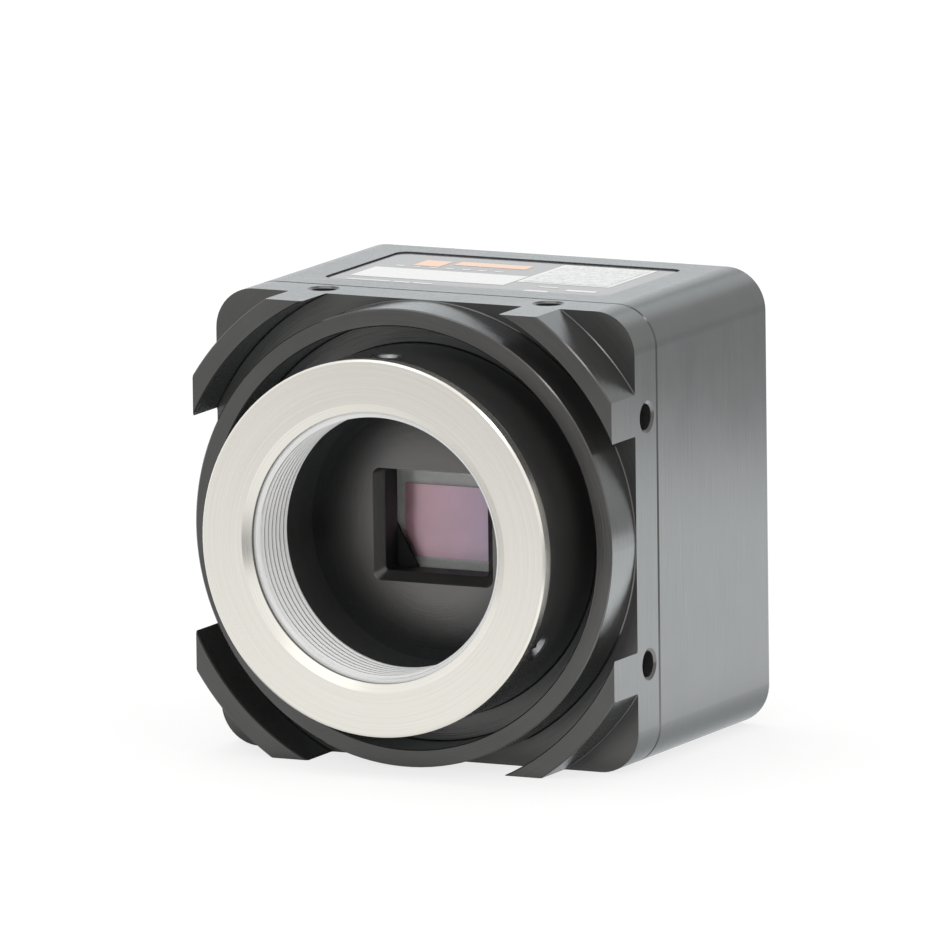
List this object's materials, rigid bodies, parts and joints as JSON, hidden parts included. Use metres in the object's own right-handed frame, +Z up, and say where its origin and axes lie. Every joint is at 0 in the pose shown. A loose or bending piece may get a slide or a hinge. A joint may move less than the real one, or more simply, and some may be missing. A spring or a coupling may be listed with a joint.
{
  "type": "machine vision camera",
  "caption": "Square-bodied machine vision camera with a screw-in lens mount ring, guard ring and corner arcs, and network and power sockets behind.",
  "frame": {"origin": "middle of the base's footprint, on the surface that the camera stands on", "axes": "+Y runs back along the lens axis, so the lens leaves towards -Y; +X is to the right seen from the front; +Z up"},
  "size_m": [0.044, 0.0472, 0.044],
  "materials": {
    "anodised_aluminium": "machined, lightly brushed and black anodised",
    "stainless_steel": "fine turned stainless steel",
    "bright_steel": "bright zinc-plated steel",
    "black_steel": "black oxide steel",
    "foam_rubber": "closed-cell black foam",
    "seal_rubber": "smooth black rubber",
    "clear_glass": "coated cover glass",
    "coated_silicon": "silicon with a colour-filter and microlens sheen",
    "package_ceramic": "grey ceramic carrier",
    "circuit_board": "green solder mask",
    "connector_plastic": "black glass-filled plastic",
    "plated_brass": "nickel-plated brass",
    "chip_resin": "moulded epoxy",
    "silicone_pad": "soft gap filler",
    "bare_aluminium": "mill finish",
    "tinned_steel": "tin-plated sheet",
    "gold_plate": "gold plate",
    "nickel_plate": "satin nickel-plated brass",
    "led_resin": "clear resin",
    "clear_plastic": "clear acrylic",
    "label_plastic": "printed polyester film"
  },
  "bodies": {
    "housing": {"front_housing": "anodised_aluminium", "housing_sleeve": "anodised_aluminium", "rear_cover": "anodised_aluminium", "ring_set_screws": "bright_steel", "case_screws": "black_steel", "sensor_gasket": "foam_rubber", "front_seal": "seal_rubber", "rear_seal": "seal_rubber", "sensor_cover_glass": "clear_glass", "sensor_die": "coated_silicon", "sensor_package": "package_ceramic", "sensor_board": "circuit_board", "processor_board": "circuit_board", "interface_board": "circuit_board", "sensor_board_header": "connector_plastic", "processor_board_socket": "connector_plastic", "processor_board_header": "connector_plastic", "interface_board_socket": "connector_plastic", "front_pillars": "plated_brass", "rear_pillars": "plated_brass", "board_screws": "bright_steel", "processor_chip": "chip_resin", "memory_chips": "chip_resin", "network_transformer": "chip_resin", "power_inductor": "chip_resin", "thermal_pad": "silicone_pad", "heat_spreader": "bare_aluminium", "jack_shell": "tinned_steel", "jack_insert": "connector_plastic", "jack_contacts": "gold_plate", "power_connector_shell": "nickel_plate", "power_connector_insert": "connector_plastic", "power_connector_pins": "gold_plate", "power_connector_nut": "nickel_plate", "status_led": "led_resin", "status_light_pipe": "clear_plastic", "label_film": "label_plastic"},
    "mount_ring": {"mount_ring": "stainless_steel"}
  },
  "joints": [
    {"name": "mount_ring_turn", "type": "hinge", "parent": "housing", "child": "mount_ring", "pos_m": [0, -0.02, 0.022], "axis": [0, -1, 0], "range_deg": [-180, 180]}
  ]
}
